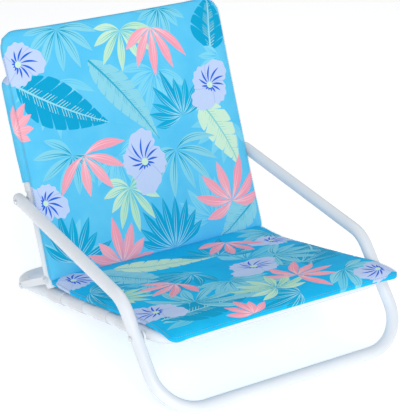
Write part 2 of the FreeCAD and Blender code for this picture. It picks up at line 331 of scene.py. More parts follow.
def stitch(shape, start, end, normal, radius):
    """One stitch: a short thread that dips into the cloth at both ends."""
    along = end - start
    side = along.cross(normal).normalized()
    rings = []
    for share, lift, size in ((0.0, -1.2, 0.4), (0.12, 0.2, 0.9), (0.5, 0.8, 1.0), (0.88, 0.2, 0.9),
                              (1.0, -1.2, 0.4)):
        middle = start + along * share + normal * (lift * radius)
        ring = []
        for k in range(6):
            turn = math.tau * k / 6
            offset = side * math.cos(turn) + normal * math.sin(turn)
            ring.append(shape.verts.new(middle + offset * (radius * size)))
        rings.append(ring)
    skin(shape, rings)


def stitch_line(shape, points, normals, length, gap, radius):
    """A row of stitches along a line of points."""
    travelled = 0.0
    runs = [0.0]
    for a, b in zip(points, points[1:]):
        runs.append(runs[-1] + (b - a).length)

    def at(distance):
        k = max(i for i, run in enumerate(runs) if run <= distance + 1e-9)
        k = min(k, len(points) - 2)
        share = (distance - runs[k]) / max(runs[k + 1] - runs[k], 1e-9)
        return points[k].lerp(points[k + 1], share), normals[k].lerp(normals[k + 1], share).normalized()

    while travelled + length <= runs[-1] + 1e-9:
        start, up = at(travelled)
        end, _ = at(travelled + length)
        stitch(shape, start, end, up, radius)
        travelled += length + gap


def boxed_cross(shape, corner_a, corner_b, height, up):
    """Box and cross of stitches between two corners in (x, along), on the face at the given height."""
    (xa, ya), (xb, yb) = corner_a, corner_b
    corners = [Vector((x, y, height)) for x, y in ((xa, ya), (xb, ya), (xb, yb), (xa, yb))]
    routes = [corners + corners[:1], [corners[0], corners[2]], [corners[1], corners[3]]]
    for route in routes:
        for a, b in zip(route, route[1:]):
            stitch_line(shape, [a, b], [up, up], band_stitch, band_stitch_gap, band_thread_radius)


def fit_band(strap, place, half, width, centre, sag, body):
    """Band, its stitching, and what they stand for."""
    mesh, length = band_mesh(half, width, sag)
    mesh.transform(place @ Matrix.Translation((0, centre, 0)))
    band = mesh_piece(strap + "_band", mesh, band_white, body)
    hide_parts(strap)
    stitches = bmesh.new()
    for side in (-1, 1):
        near = (side * (half - tube_radius - 0.006), centre - width * 0.40)
        far = (side * (half - tube_radius - 0.028), centre + width * 0.40)
        boxed_cross(stitches, near, far, tube_radius + band_thick * 0.93, Vector((0, 0, 1)))
        boxed_cross(stitches, near, far, tube_radius - band_thick - 0.0004, Vector((0, 0, -1)))
    sewn = as_mesh(stitches, "stitches")
    sewn.transform(place)
    sewing = mesh_piece(strap + "_stitches", sewn, band_thread, body)


def middle_of(name):
    """Middle of a CAD node, on the chair's own middle plane."""
    low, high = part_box(name)
    middle = (low + high) / 2
    return Vector((0, middle.y, middle.z))


for name in ("seat_strap_1", "seat_strap_2", "seat_strap_3", "seat_strap_4"):
    centre = (middle_of(name) - rail_start).dot(rail_way)
    fit_band(name, seat_place, rail_half, seat_band_width, centre, seat_band_sag, "seat")

# ----------------------------------------
# Back webbing: three narrower bands of the same weave round the uprights of the back bow,
# which carry the lower half of the back cushion.
back_start = middle_of("back_pivot_rivets")
back_way = (middle_of("arm_pivot_rivets") - back_start).normalized()
back_out = Vector((1, 0, 0)).cross(back_way)
back_place = tilted(back_start, back_way, back_out)
back_band_width = 0.034
back_band_sag = 0.0012

for name in ("back_strap_1", "back_strap_2", "back_strap_3"):
    centre = (middle_of(name) - back_start).dot(back_way)
    fit_band(name, back_place, rail_half, back_band_width, centre, back_band_sag, "backrest")

# ----------------------------------------
# Printed canvas of the cushions and the pocket: polyester, plain weave, with big tropical leaves,
# fans and open flowers on sky blue. The print is laid out across each panel in metres, so that
# it runs on over the edges. Fans, broad leaves and blooms are three node groups.
sky = (0.130, 0.600, 0.890, 1.0)
sky_deep = (0.100, 0.560, 0.880, 1.0)
# The seat's ground is a deeper, darker copy of the back's sky blue, though both cushions are the same cloth:
# painted shade on the seat.
seat_shaded_sky = (0.012, 0.520, 0.900, 1.0)
seat_shaded_sky_deep = (0.008, 0.470, 0.860, 1.0)
teal = (0.003, 0.370, 0.640, 1.0)
mint = (0.27, 0.67, 0.79, 1.0)
aqua = (0.20, 0.66, 0.87, 1.0)
lime = (0.50, 0.80, 0.56, 1.0)
pale_lime = (0.62, 0.86, 0.66, 1.0)
pink = (0.95, 0.34, 0.44, 1.0)
pale_pink = (0.98, 0.60, 0.66, 1.0)
lavender = (0.55, 0.66, 0.92, 1.0)
royal = (0.015, 0.12, 0.72, 1.0)
edge_soft = 0.0005
placing = ["Across", "Along", "At Across", "At Along", "Turn", "Length"]


def print_group(name, sockets, outputs):
    """Empty node group for a printed motif."""
    group = bpy.data.node_groups.new(name, "ShaderNodeTree")
    for socket in sockets:
        group.interface.new_socket(socket, in_out="INPUT", socket_type="NodeSocketFloat")
    for socket in outputs:
        group.interface.new_socket(socket, in_out="OUTPUT", socket_type="NodeSocketFloat")
    entry = group.nodes.new("NodeGroupInput")
    leave = group.nodes.new("NodeGroupOutput")
    return group, {s: entry.outputs[s] for s in sockets}, leave


def sent(tree, leave, **layers):
    """The group, with its layers joined to its outputs."""
    for layer, value in layers.items():
        tree.links.new(value, leave.inputs[layer])
    return tree


def inside(tree, limit, distance):
    """1 where distance is less than limit, with a soft printed edge."""
    return times_plus(tree, maths(tree, "SUBTRACT", limit, distance), 1 / edge_soft, 0.5, clamp=True)


def polar(tree, taken):
    """Distance from the motif's middle, and angle from its own direction."""
    across = maths(tree, "SUBTRACT", taken["Across"], taken["At Across"])
    along = maths(tree, "SUBTRACT", taken["Along"], taken["At Along"])
    spot = node(tree, "CombineXYZ", {0: across, 1: along})
    radius = node(tree, "VectorMath", {0: spot.outputs[0]}, operation="LENGTH").outputs[1]
    angle = maths(tree, "SUBTRACT", maths(tree, "ARCTAN2", along, across), taken["Turn"])
    return radius, angle


def fan_group():
    """Blades that spread from one point: a palm fan, a frond or a pointed flower."""
    sockets = placing + ["Blades", "Spread", "Width", "Curl"]
    tree, taken, leave = print_group("print_fan", sockets, ["Blade", "Rib", "Shade"])
    radius, angle = polar(tree, taken)
    share = maths(tree, "DIVIDE", radius, taken["Length"])
    angle = maths(tree, "WRAP", angle, math.pi, -math.pi)
    angle = times(tree, angle, times_plus(tree, share, taken["Curl"], 1.0))
    step = maths(tree, "DIVIDE", taken["Spread"], taken["Blades"])
    number = maths(tree, "ROUND", maths(tree, "DIVIDE", angle, step))
    seed = times_plus(tree, taken["At Across"], 40.0, number)
    random_share = maths(tree, "FRACT", times(tree, maths(tree, "SINE", times(tree, seed, 12.99)), 437.5))
    off_grid = times_plus(tree, random_share, 0.26, maths(tree, "SUBTRACT", number, 0.13))
    own = maths(tree, "SUBTRACT", angle, times(tree, off_grid, step))
    off_axis = maths(tree, "DIVIDE", maths(tree, "ABSOLUTE", angle), taken["Spread"])
    length = times_plus(tree, random_share, -0.26, times_plus(tree, off_axis, -0.35, 1.0))
    reach = maths(tree, "DIVIDE", times(tree, share, maths(tree, "COSINE", own)), length, clamp=True)
    signed = times(tree, radius, maths(tree, "SINE", own))
    aside = maths(tree, "ABSOLUTE", signed)
    swell = maths(tree, "SINE", times(tree, maths(tree, "POWER", reach, 1.25), math.pi))
    wide = times(tree, swell, taken["Width"])
    blade = times(tree, inside(tree, wide, aside), maths(tree, "LESS_THAN", off_axis, 0.5))
    blade = times(tree, blade, maths(tree, "LESS_THAN", reach, 0.995))
    line = maths(tree, "PINGPONG", signed, times(tree, wide, 0.25))
    line_wide = times_plus(tree, reach, -0.0014, 0.00135)
    rib = times(tree, inside(tree, line_wide, line), blade)
    one_side = maths(tree, "GREATER_THAN", signed, times(tree, wide, -0.3))
    rib = times(tree, rib, one_side)
    rib = times(tree, rib, maths(tree, "LESS_THAN", aside, times(tree, wide, 0.7)))
    shade = times(tree, times(tree, random_share, 0.9), blade)
    return sent(tree, leave, Blade=blade, Rib=rib, Shade=shade)


def leaf_group():
    """Broad leaf on a curved midrib, with slanted veins and a notched edge."""
    sockets = placing + ["Width", "Bend", "Veins"]
    tree, taken, leave = print_group("print_leaf", sockets, ["Leaf", "Rib", "Vein"])
    radius, angle = polar(tree, taken)
    x = times(tree, radius, maths(tree, "COSINE", angle))
    y = times(tree, radius, maths(tree, "SINE", angle))
    share = maths(tree, "DIVIDE", x, taken["Length"])
    arch = times(tree, share, maths(tree, "SUBTRACT", share, 1.0))
    y = times_plus(tree, arch, taken["Bend"], y)
    share = maths(tree, "ADD", share, 0.0, clamp=True)
    aside = maths(tree, "ABSOLUTE", y)
    slant = maths(tree, "DIVIDE", times_plus(tree, aside, -0.75, x), taken["Veins"])
    slant = times_plus(tree, maths(tree, "SIGN", y), 0.21, slant)
    beat = maths(tree, "FRACT", slant)
    notch = times_plus(tree, maths(tree, "POWER", beat, 14.0), -0.62, 1.0)
    swell = maths(tree, "SINE", times(tree, maths(tree, "POWER", share, 0.72), math.pi))
    full = times(tree, swell, taken["Width"])
    blade = inside(tree, times(tree, full, notch), aside)
    stem = times_plus(tree, share, -0.0013, 0.0021)
    rib = times(tree, inside(tree, stem, aside), maths(tree, "GREATER_THAN", swell, 0.001))
    fine = maths(tree, "LESS_THAN", maths(tree, "FRACT", times(tree, slant, 5.0)), 0.17)
    fine = times(tree, fine, maths(tree, "LESS_THAN", beat, 0.62))
    vein = times(tree, fine, inside(tree, times(tree, full, 0.34), aside))
    return sent(tree, leave, Leaf=blade, Rib=rib, Vein=times(tree, vein, blade))


def bloom_group():
    """Open flower: overlapping rounded petals with ruffled rims and painted strokes at the throat."""
    sockets = placing + ["Petals"]
    tree, taken, leave = print_group("print_bloom", sockets, ["Petal", "Stroke", "Fold", "Throat"])
    radius, angle = polar(tree, taken)
    share = maths(tree, "DIVIDE", radius, taken["Length"])
    angle = times_plus(tree, share, 0.5, angle)
    step = maths(tree, "DIVIDE", math.tau, taken["Petals"])
    half = times(tree, step, 0.5)
    own = maths(tree, "WRAP", angle, half, times(tree, half, -1.0))
    lobe = maths(tree, "COSINE", times(tree, maths(tree, "DIVIDE", own, half), 1.35))
    ruffle = maths(tree, "SINE", times(tree, angle, 17.0))
    uneven = maths(tree, "SINE", times_plus(tree, angle, 2.0, 1.3))
    ruffle = times_plus(tree, uneven, 0.15, times(tree, ruffle, 0.03))
    rim = times_plus(tree, lobe, 0.30, maths(tree, "ADD", ruffle, 0.64))
    limit = times(tree, rim, taken["Length"])
    petal = inside(tree, limit, radius)
    third = maths(tree, "DIVIDE", step, 6.0)
    stroke_angle = maths(tree, "PINGPONG", own, third)
    stroke_aside = times(tree, radius, maths(tree, "SINE", stroke_angle))
    lean = times_plus(tree, maths(tree, "COSINE", angle), 0.28, 0.50)
    grown = times_plus(tree, maths(tree, "DIVIDE", share, lean), 1.1, -0.15, clamp=True)
    grow = maths(tree, "SINE", times(tree, grown, math.pi))
    stroke = inside(tree, times(tree, grow, 0.0019), stroke_aside)
    stroke = times(tree, stroke, maths(tree, "GREATER_THAN", grow, 0.02))
    edge = maths(tree, "SUBTRACT", half, maths(tree, "ABSOLUTE", own))
    fold = inside(tree, 0.0007, times(tree, radius, edge))
    throat = inside(tree, times(tree, taken["Length"], 0.12), radius)
    stroke = times(tree, stroke, petal)
    return sent(tree, leave, Petal=petal, Stroke=stroke, Fold=times(tree, fold, petal), Throat=throat)


fan, leaf, bloom = fan_group(), leaf_group(), bloom_group()


def stamped(tree, colour, spot, group, at, turn, length, sizes, layers, tints):
    """Prints a motif's layers over the colour, each in its own tint."""
    made = tree.nodes.new("ShaderNodeGroup")
    made.node_tree = group
    tree.links.new(spot[0], made.inputs["Across"])
    tree.links.new(spot[1], made.inputs["Along"])
    placed = {"At Across": at[0], "At Along": at[1], "Turn": math.radians(turn), "Length": length}
    for socket, value in {**placed, **sizes}.items():
        made.inputs[socket].default_value = value
    for layer, tint in zip(layers, tints):
        colour = mixed(tree, made.outputs[layer], colour, tint)
    return colour


def add_fan(tree, colour, spot, at, turn, length, blades, spread, width, tints, curl):
    """Fan in two tints, blade by blade, with darker or lighter ribs."""
    sizes = {"Blades": float(blades), "Spread": math.radians(spread), "Width": width, "Curl": curl}
    return stamped(tree, colour, spot, fan, at, turn, length, sizes, ("Blade", "Shade", "Rib"), tints)


def add_leaf(tree, colour, spot, at, turn, length, width, bend, veins, tints):
    """Broad leaf: blade, veins and midrib."""
    sizes = {"Width": width, "Bend": bend, "Veins": veins}
    return stamped(tree, colour, spot, leaf, at, turn, length, sizes, ("Leaf", "Vein", "Rib"), tints)


def add_bloom(tree, colour, spot, at, turn, length, petals, tints):
    """Open flower: petals, folds between them, strokes and throat."""
    layers = ("Petal", "Fold", "Stroke", "Throat")
    return stamped(tree, colour, spot, bloom, at, turn, length, {"Petals": float(petals)}, layers, tints)


def fans(tints, *rows):
    """Rows of across, along, turn, length, blades, spread, width and curl, as motifs in one set of tints."""
    return [(add_fan, row[:2], *row[2:7], tints, row[7]) for row in rows]


def leaves(tints, *rows):
    """Rows of across, along, turn, length, width, bend and vein spacing, as motifs in one set of tints."""
    return [(add_leaf, row[:2], *row[2:], tints) for row in rows]


def blooms(tints, *rows):
    """Rows of across, along, turn and length, as four-petalled flowers."""
    return [(add_bloom, row[:2], *row[2:], 4, tints) for row in rows]


palm_tints = (teal, (0.004, 0.43, 0.70, 1.0), (0.30, 0.70, 0.88, 1.0))
frond_tints = (mint, aqua, (0.006, 0.38, 0.60, 1.0))
lime_tints = (lime, pale_lime, (0.20, 0.62, 0.62, 1.0))
pink_tints = (pink, (0.97, 0.42, 0.50, 1.0), pale_pink)
soft_tints = (aqua, (0.24, 0.70, 0.90, 1.0), sky_deep)
light_tints = ((0.14, 0.62, 0.84, 1.0), (0.30, 0.72, 0.86, 1.0), (0.01, 0.42, 0.66, 1.0))
teal_leaf = (teal, pale_lime, (0.30, 0.72, 0.86, 1.0))
mint_leaf = (mint, teal, (0.02, 0.42, 0.62, 1.0))
lime_leaf = (pale_lime, (0.24, 0.66, 0.60, 1.0), (0.26, 0.66, 0.66, 1.0))
lavender_bloom = (lavender, (0.40, 0.50, 0.86, 1.0), royal, pale_lime)


# Motifs of the back cushion, bottom layer first; places are (across, up) from the link pivot.
back_print = fans(soft_tints, *(row + (7, 250, 0.011, 0.5) for row in (
    (-0.15, 0.34, 270, 0.100), (0.06, 0.33, 250, 0.095), (-0.05, 0.19, 300, 0.095),
    (0.19, 0.21, 230, 0.090), (0.12, 0.04, 100, 0.090), (-0.19, 0.03, 60, 0.085))))
back_print += leaves(teal_leaf,
    (-0.222, 0.352, -30, 0.195, 0.045, -0.024, 0.030), (0.190, 0.350, 78, 0.110, 0.040, 0.016, 0.026))
back_print += leaves(mint_leaf, (-0.070, 0.372, -56, 0.200, 0.030, 0.026, 0.022))
back_print += leaves(lime_leaf, (0.140, 0.262, -66, 0.155, 0.032, 0.026, 0.030))
back_print += leaves(mint_leaf, (0.225, 0.055, 215, 0.115, 0.030, -0.012, 0.022))
back_print += fans(palm_tints,
    (0.100, 0.240, 110, 0.100, 9, 230, 0.0095, 0.45), (-0.178, 0.020, 80, 0.105, 7, 190, 0.0105, 0.4),
    (0.030, -0.005, 95, 0.115, 9, 170, 0.0105, 0.35))
back_print += fans(frond_tints,
    (-0.120, 0.440, 265, 0.110, 7, 270, 0.0115, 0.55), (0.100, 0.450, 250, 0.085, 7, 220, 0.0095, 0.4),
    (0.072, 0.178, 285, 0.105, 7, 300, 0.0105, 0.6), (-0.140, 0.208, 235, 0.100, 7, 290, 0.0105, 0.5))
back_print += fans(lime_tints,
    (0.006, 0.416, 262, 0.088, 7, 300, 0.0095, 0.5), (-0.040, 0.128, 275, 0.086, 9, 330, 0.0090, 0.35))
back_print += fans(soft_tints, (0.205, 0.335, 200, 0.060, 5, 190, 0.0080, 0.4))
back_print += blooms(lavender_bloom,
    (-0.208, 0.388, 20, 0.050), (0.172, 0.285, 70, 0.050), (0.002, 0.170, 110, 0.056),
    (-0.212, 0.135, 0, 0.044))
back_print += fans(pink_tints,
    (-0.118, 0.204, 300, 0.110, 5, 240, 0.0110, 0.45), (0.070, 0.412, 265, 0.105, 5, 200, 0.0110, 0.6),
    (0.168, 0.062, 100, 0.098, 7, 290, 0.0115, 0.35), (-0.085, -0.008, 95, 0.095, 7, 250, 0.0115, 0.3),
    (-0.255, 0.275, 20, 0.075, 5, 160, 0.0100, 0.3))

# Motifs of the seat cushion; places are (across, towards the rear) from the middle of the rails.
seat_print = fans(light_tints, *(row + (7, 250, 0.013, 0.5) for row in (
    (-0.10, -0.02, 260, 0.110), (0.08, -0.05, 30, 0.105), (-0.02, -0.15, 250, 0.110),
    (0.15, -0.25, 300, 0.105), (-0.15, -0.25, 130, 0.105))))
seat_print += leaves(teal_leaf,
    (-0.215, -0.245, 4, 0.190, 0.044, -0.020, 0.030), (0.218, -0.050, 235, 0.165, 0.048, 0.020, 0.030))
seat_print += leaves(mint_leaf, (-0.160, 0.085, -62, 0.150, 0.042, 0.016, 0.026))
seat_print += leaves(lime_leaf, (-0.120, 0.078, -20, 0.190, 0.030, -0.016, 0.024))
seat_print += leaves(mint_leaf, (0.055, -0.215, 190, 0.140, 0.034, 0.016, 0.022))
seat_print += fans(palm_tints,
    (-0.215, 0.005, 300, 0.110, 9, 250, 0.0105, 0.4), (0.130, -0.150, 70, 0.110, 7, 230, 0.0120, 0.4),
    (-0.040, -0.055, 200, 0.115, 7, 230, 0.0115, 0.5), (0.060, 0.015, 60, 0.100, 7, 250, 0.0115, 0.4),
    (0.035, -0.290, 170, 0.100, 7, 210, 0.0115, 0.4))
seat_print += fans(frond_tints,
    (-0.125, -0.205, 40, 0.115, 7, 290, 0.0120, 0.5), (0.130, -0.070, 330, 0.100, 7, 270, 0.0115, 0.5),
    (-0.020, -0.150, 300, 0.090, 7, 250, 0.0105, 0.5), (0.205, 0.065, 215, 0.095, 7, 240, 0.0110, 0.5))
seat_print += fans(lime_tints,
    (0.010, -0.245, 100, 0.090, 9, 320, 0.0090, 0.35), (-0.200, -0.075, 330, 0.070, 7, 240, 0.0080, 0.4))
seat_print += blooms(lavender_bloom,
    (-0.200, 0.080, 10, 0.044), (0.058, -0.105, 60, 0.056), (-0.198, -0.200, 150, 0.052),
    (0.180, 0.020, 20, 0.042), (0.205, -0.285, 200, 0.046))
seat_print += fans(pink_tints,
    (0.112, 0.070, 250, 0.085, 5, 230, 0.0110, 0.4), (-0.090, -0.080, 205, 0.100, 5, 230, 0.0110, 0.45),
    (0.075, -0.215, 30, 0.100, 7, 300, 0.0110, 0.4), (-0.075, -0.310, 100, 0.060, 5, 200, 0.0090, 0.3))


def canvas(name, place_matrix, half, far, near, motifs, face_height, ground):
    """Printed canvas: the layout on the panel, then threads, slubs, painted shade in their hollows and a faint
    sheen.
    """
    material, tree, place, shader = finish(name, 0.7, sheen=0.006)
    shader.inputs["Sheen Roughness"].default_value = 0.45
    shader.inputs["Specular IOR Level"].default_value = 0.05
    turn = place_matrix.inverted().to_euler()
    shift = place_matrix.inverted().translation
    own = node(tree, "Mapping", {"Vector": place, "Location": shift, "Rotation": turn})
    apart = node(tree, "SeparateXYZ", {0: own.outputs[0]})
    depth = maths(tree, "SUBTRACT", face_height, apart.outputs[2])
    across = times(tree, apart.outputs[0], times_plus(tree, depth, 1 / half, 1.0))
    middle = (far + near) / 2
    reach = (far - near) / 2
    from_middle = maths(tree, "SUBTRACT", apart.outputs[1], middle)
    along = times_plus(tree, from_middle, times_plus(tree, depth, 1 / reach, 1.0), middle)
    washed = ranged(tree, grain(tree, own.outputs[0], 16.0), 0.38, 0.62)
    colour = mixed(tree, washed, *ground)
    for add, *sizes in motifs:
        colour = add(tree, colour, (across, along), *sizes)
    warp = maths(tree, "SINE", times(tree, across, 2 * math.pi / 0.0009))
    weft = maths(tree, "SINE", times(tree, along, 2 * math.pi / 0.0009))
    weave = times(tree, warp, weft)
    slub = grain(tree, own.outputs[0], 700.0, 3.0, 0.65)
    relief = times_plus(tree, slub, 0.9, times(tree, weave, 0.5))
    # Painted shade: the print darkens towards deep blue where the thread and slub bump is low.
    shade = ranged(tree, relief, 0.0, 0.9, 0.16, 0.0)
    colour = mixed(tree, shade, colour, (0.01, 0.16, 0.30, 1.0))
    gloss = ranged(tree, slub, 0.3, 0.7, 0.58, 0.74)
    joined(tree, shader, colour, relief, 0.22, 0.0003, gloss)
    return material


# ----------------------------------------
# Seat cushion: a sheet of soft foam in a printed cover, sewn along its edge at half thickness.
# It lies on the webbing, is crowned on top, and its front edge droops over the front bow.
pad_low = tube_radius + band_thick + 0.0003
pad_body = 0.0145
pad_crown = 0.0035
pad_voxel = 0.005
pad_most_swell = 0.005
seam_roll, seam_stitch, seam_stitch_gap, seam_thread_radius = 0.0010, 0.0032, 0.0012, 0.00038


def local_box(names, place):
    """Lowest and highest corner of CAD nodes, measured along a tilted frame's own axes."""
    back = place.inverted()
    points = [back @ v.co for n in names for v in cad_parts[n].data.vertices]
    low = Vector([min(p[k] for p in points) for k in range(3)])
    high = Vector([max(p[k] for p in points) for k in range(3)])
    return low, high


def pad_outline(half, near, far, near_corner, far_corner, pull):
    """Rounded outline whose sides pull in between the corners, as points all the way round."""
    points = []
    corners = [(half, near, near_corner, -90), (half, far, far_corner, 0),
               (-half, far, far_corner, 90), (-half, near, near_corner, 180)]
    for x, y, radius, start in corners:
        cx = x - math.copysign(radius, x)
        cy = y + radius if y == near else y - radius
        for step in range(9):
            turn = math.radians(start + 90 * step / 8)
            points.append(Vector((cx + radius * math.cos(turn), cy + radius * math.sin(turn), 0)))
    dense = []
    for a, b in zip(points, points[1:] + points[:1]):
        pieces = max(1, int((b - a).length / 0.008))
        dense += [a.lerp(b, k / pieces) for k in range(pieces)]
    middle = (near + far) / 2
    for p in dense:
        side = max(0.0, 1 - ((p.y - middle) / ((far - near) / 2)) ** 2)
        end = max(0.0, 1 - (p.x / half) ** 2)
        if abs(p.x) > half - 0.004:
            p.x -= math.copysign(pull * side, p.x)
        elif abs(p.y - middle) > (far - near) / 2 - 0.004:
            p.y -= math.copysign(pull * end, p.y - middle)
    return dense


def pad_block(outline, thick):
    """Thin closed block that the cushion is blown up from."""
    shape = bmesh.new()
    middle = sum(outline, Vector()) / len(outline)
    rings = []
    for height, shrink in ((0.0, 0.0045), (0.25, 0.001), (0.5, 0.0), (0.75, 0.001), (1.0, 0.0045)):
        ring = []
        for p in outline:
            inward = (middle - p).normalized()
            q = p + inward * shrink
            ring.append(shape.verts.new((q.x, q.y, thick * height)))
        rings.append(ring)
    skin(shape, rings)
    return as_mesh(shape, "pad_block", outward=True)


def applied(piece):
    """The piece's mesh with its modifiers applied, in place of its old one."""
    graph = bpy.context.evaluated_depsgraph_get()
    graph.update()
    mesh = bpy.data.meshes.new_from_object(piece.evaluated_get(graph))
    piece.modifiers.clear()
    old = piece.data
    piece.data = mesh
    bpy.data.meshes.remove(old)


def blown_up(mesh, floor_height):
    """Cloth pressure on the block; its underside stays on what it rests on."""
    piece = bpy.data.objects.new("blown", mesh)
    bpy.context.scene.collection.objects.link(piece)
    remesh = piece.modifiers.new("remesh", "REMESH")
    remesh.mode = "VOXEL"
    remesh.voxel_size = pad_voxel
    applied(piece)
    before = [v.co.copy() for v in piece.data.vertices]
    cloth = piece.modifiers.new("cloth", "CLOTH")
    cloth.settings.quality = 5
    cloth.settings.mass = 0.25
    cloth.settings.tension_stiffness = 12
    cloth.settings.compression_stiffness = 12
    cloth.settings.bending_stiffness = 0.4
    cloth.settings.use_pressure = True
    cloth.settings.uniform_pressure_force = 4.0
    cloth.settings.effector_weights.gravity = 0.0
    cloth.point_cache.frame_start = 1
    cloth.point_cache.frame_end = 20
    for step in range(1, 21):
        bpy.context.scene.frame_set(step)
    applied(piece)
    bpy.context.scene.frame_set(1)
    for v, start in zip(piece.data.vertices, before):
        move = v.co - start
        if move.length > pad_most_swell:
            move = move.normalized() * pad_most_swell
        v.co = start + move
        if v.co.z < floor_height:
            v.co.z = floor_height
    smooth = piece.modifiers.new("smooth", "SMOOTH")
    smooth.factor = 0.5
    smooth.iterations = 6
    finer = piece.modifiers.new("finer", "SUBSURF")
    finer.levels = 1
    applied(piece)
    mesh = piece.data
    bpy.data.objects.remove(piece)
    return mesh


def edge_distance(x, y, half, near, far):
    """How far a point is inside the nearest side of the panel."""
    return min(half - abs(x), y - near, far - y)


def shaped_pad(mesh, half, near, far, seam_height, seed, dents, droop, lip):
    """Crown, soft dents and edge puckers, the seam pinched in at half thickness, and a drooping end."""
    offset = Vector((seed * 7.3, seed * 3.1, 0))
    for v in mesh.vertices:
        x, y, z = v.co
        inner = edge_distance(x, y, half, near, far)
        rise = min(1.0, max(0.0, inner / 0.075))
        dome = math.sin(rise * math.pi / 2) ** 0.8
        top = max(0.0, min(1.0, (z / pad_body - 0.5) * 2))
        wave = noise.noise(Vector((x * 16, y * 16, 0)) + offset) * dents
        wave += noise.noise(Vector((x * 45, y * 45, 3)) + offset) * 0.0006
        ripple = math.exp(-((inner - 0.016) / 0.014) ** 2)
        pucker = noise.noise(Vector((x * 95, y * 95, 8)) + offset) * 0.0011 * ripple
        v.co.z += top * (pad_crown * dome + wave * rise + pucker)
        seam = math.exp(-((z - seam_height) / 0.0028) ** 2) * (1 if inner < 0.012 else 0)
        side = 0.0016 * seam
        if half - abs(x) < inner + 0.004:
            v.co.x -= math.copysign(side, x)
        if min(y - near, far - y) < inner + 0.004:
            v.co.y -= math.copysign(side, y - (near + far) / 2)
    wide = max(abs(v.co.x) for v in mesh.vertices)
    rear = max(v.co.y for v in mesh.vertices)
    front = min(v.co.y for v in mesh.vertices)
    tall = max(v.co.z for v in mesh.vertices)
    for v in mesh.vertices:
        v.co.x *= half / wide
        v.co.y = near + (v.co.y - front) * (far - near) / (rear - front)
        if v.co.z > 0:
            v.co.z *= (pad_body + pad_crown) / tall
        if lip:
            start, rise = lip
            share = max(0.0, min(1.0, (v.co.y - start) / (far - start)))
            v.co.z += rise * share * share * (3 - 2 * share)
        if droop:
            start, drop = droop
            past = max(0.0, start - v.co.y)
            v.co.z -= drop * (past / (start - near)) ** 2
    mesh.update()


def rim_route(mesh, outline, height_at):
    """Points round the blown-up surface at the seam's height, with their outward direction."""
    shape = bmesh.new()
    shape.from_mesh(mesh)
    tree = BVHTree.FromBMesh(shape)
    shape.free()
    middle = sum(outline, Vector()) / len(outline)
    points, outward = [], []
    for k, p in enumerate(outline):
        ahead = outline[(k + 1) % len(outline)]
        behind = outline[k - 1]
        out = (ahead - behind).cross(Vector((0, 0, 1))).normalized()
        if out.dot(p - middle) < 0:
            out = -out
        height = height_at(p.y)
        start = Vector((p.x, p.y, height)) + out * 0.05
        hit, _, _, _ = tree.ray_cast(start, -out, 0.12)
        if hit:
            points.append(hit)
            outward.append(out)
    return points, outward


def rim_cord(points, radius):
    """Thin closed roll of cloth along the seam."""
    shape = bmesh.new()
    rings = []
    count = len(points)
    for k, p in enumerate(points):
        way = (points[(k + 1) % count] - points[k - 1]).normalized()
        side = way.cross(Vector((0, 0, 1))).normalized()
        up = side.cross(way)
        rings.append([shape.verts.new(p + side * math.cos(t) * radius + up * math.sin(t) * radius * 0.8)
                      for t in (math.tau * j / 8 for j in range(8))])
    skin(shape, rings + rings[:1], ends=False)
    return as_mesh(shape, "rim", outward=True)


def make_cushion(name, place, names, sizes, body, material, seed, dents, droop=None, lip=None):
    """Cushion with its seam and its row of stitches, standing for its CAD layers."""
    half, near, far = sizes[:3]
    outline = pad_outline(*sizes)
    mesh = blown_up(pad_block(outline, pad_body), -0.0002)
    seam_height = pad_body / 2
    shaped_pad(mesh, half, near, far, seam_height, seed, dents, droop, lip)

    def seam_at(y):
        if droop and y < droop[0]:
            return seam_height - droop[1] * ((droop[0] - y) / (droop[0] - near)) ** 2
        if lip and y > lip[0]:
            share = min(1.0, (y - lip[0]) / (far - lip[0]))
            return seam_height + lip[1] * share * share * (3 - 2 * share)
        return seam_height

    points, outward = rim_route(mesh, outline, seam_at)
    rim = rim_cord([p - o * 0.0003 for p, o in zip(points, outward)], seam_roll)
    sewing = bmesh.new()
    raised = [p + o * 0.0001 + Vector((0, 0, 0.0026)) for p, o in zip(points, outward)]
    stitch_line(sewing, raised + raised[:1], outward + outward[:1], seam_stitch, seam_stitch_gap,
                seam_thread_radius)
    sewn = as_mesh(sewing, "sewing")
    up = Matrix.Translation((0, 0, pad_low))
    for each in (mesh, rim, sewn):
        each.transform(place @ up)
    cushion = mesh_piece(name, mesh, material, body)
    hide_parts(*names)
    mesh_piece(name + "_seam", rim, material, body)
    mesh_piece(name + "_stitches", sewn, cushion_thread, body)
    return cushion


cushion_thread = thread("cushion_thread", (0.20, 0.36, 0.42, 1.0))
seat_names = ["seat_foam", "seat_cover_top", "seat_cover_base"]
seat_low, seat_high = local_box(seat_names, seat_place)
# The seat's canvas takes the darker, painted-shade copy of the sky blue as its ground.
seat_canvas = canvas("seat_canvas", seat_place, seat_high.x, seat_high.y, seat_low.y, seat_print, seat_high.z,
                     (seat_shaded_sky, seat_shaded_sky_deep))
seat_front_corner, seat_rear_corner, seat_side_pull = 0.013, 0.014, 0.003
seat_sizes = (seat_high.x + 0.0035, seat_low.y, seat_high.y + 0.014, seat_front_corner, seat_rear_corner,
              seat_side_pull)
make_cushion("seat_cushion", seat_place, seat_names, seat_sizes, "seat", seat_canvas, 1, dents=0.0026,
             droop=(-0.225, 0.011), lip=(0.030, 0.0085))

# ----------------------------------------
# Back cushion: the same foam and printed cover, standing about 80 mm above its frame.
# It is sewn along its edge, crowned towards the sitter, and its pocket slips over the back bow.
back_names = ["back_foam", "back_cover_front", "back_cover_rear"]
back_low, back_high = local_box(back_names, back_place)
back_canvas = canvas("back_canvas", back_place, back_high.x, back_high.y, back_low.y, back_print, back_high.z,
                     (sky, sky_deep))
back_low_corner, back_top_corner, back_side_pull = 0.014, 0.036, 0.001
back_sizes = (back_high.x + 0.003, back_low.y - 0.010, back_high.y - 0.0075, back_low_corner,
              back_top_corner, back_side_pull)
make_cushion("back_cushion", back_place, back_names, back_sizes, "backrest", back_canvas, 2, dents=0.0012)

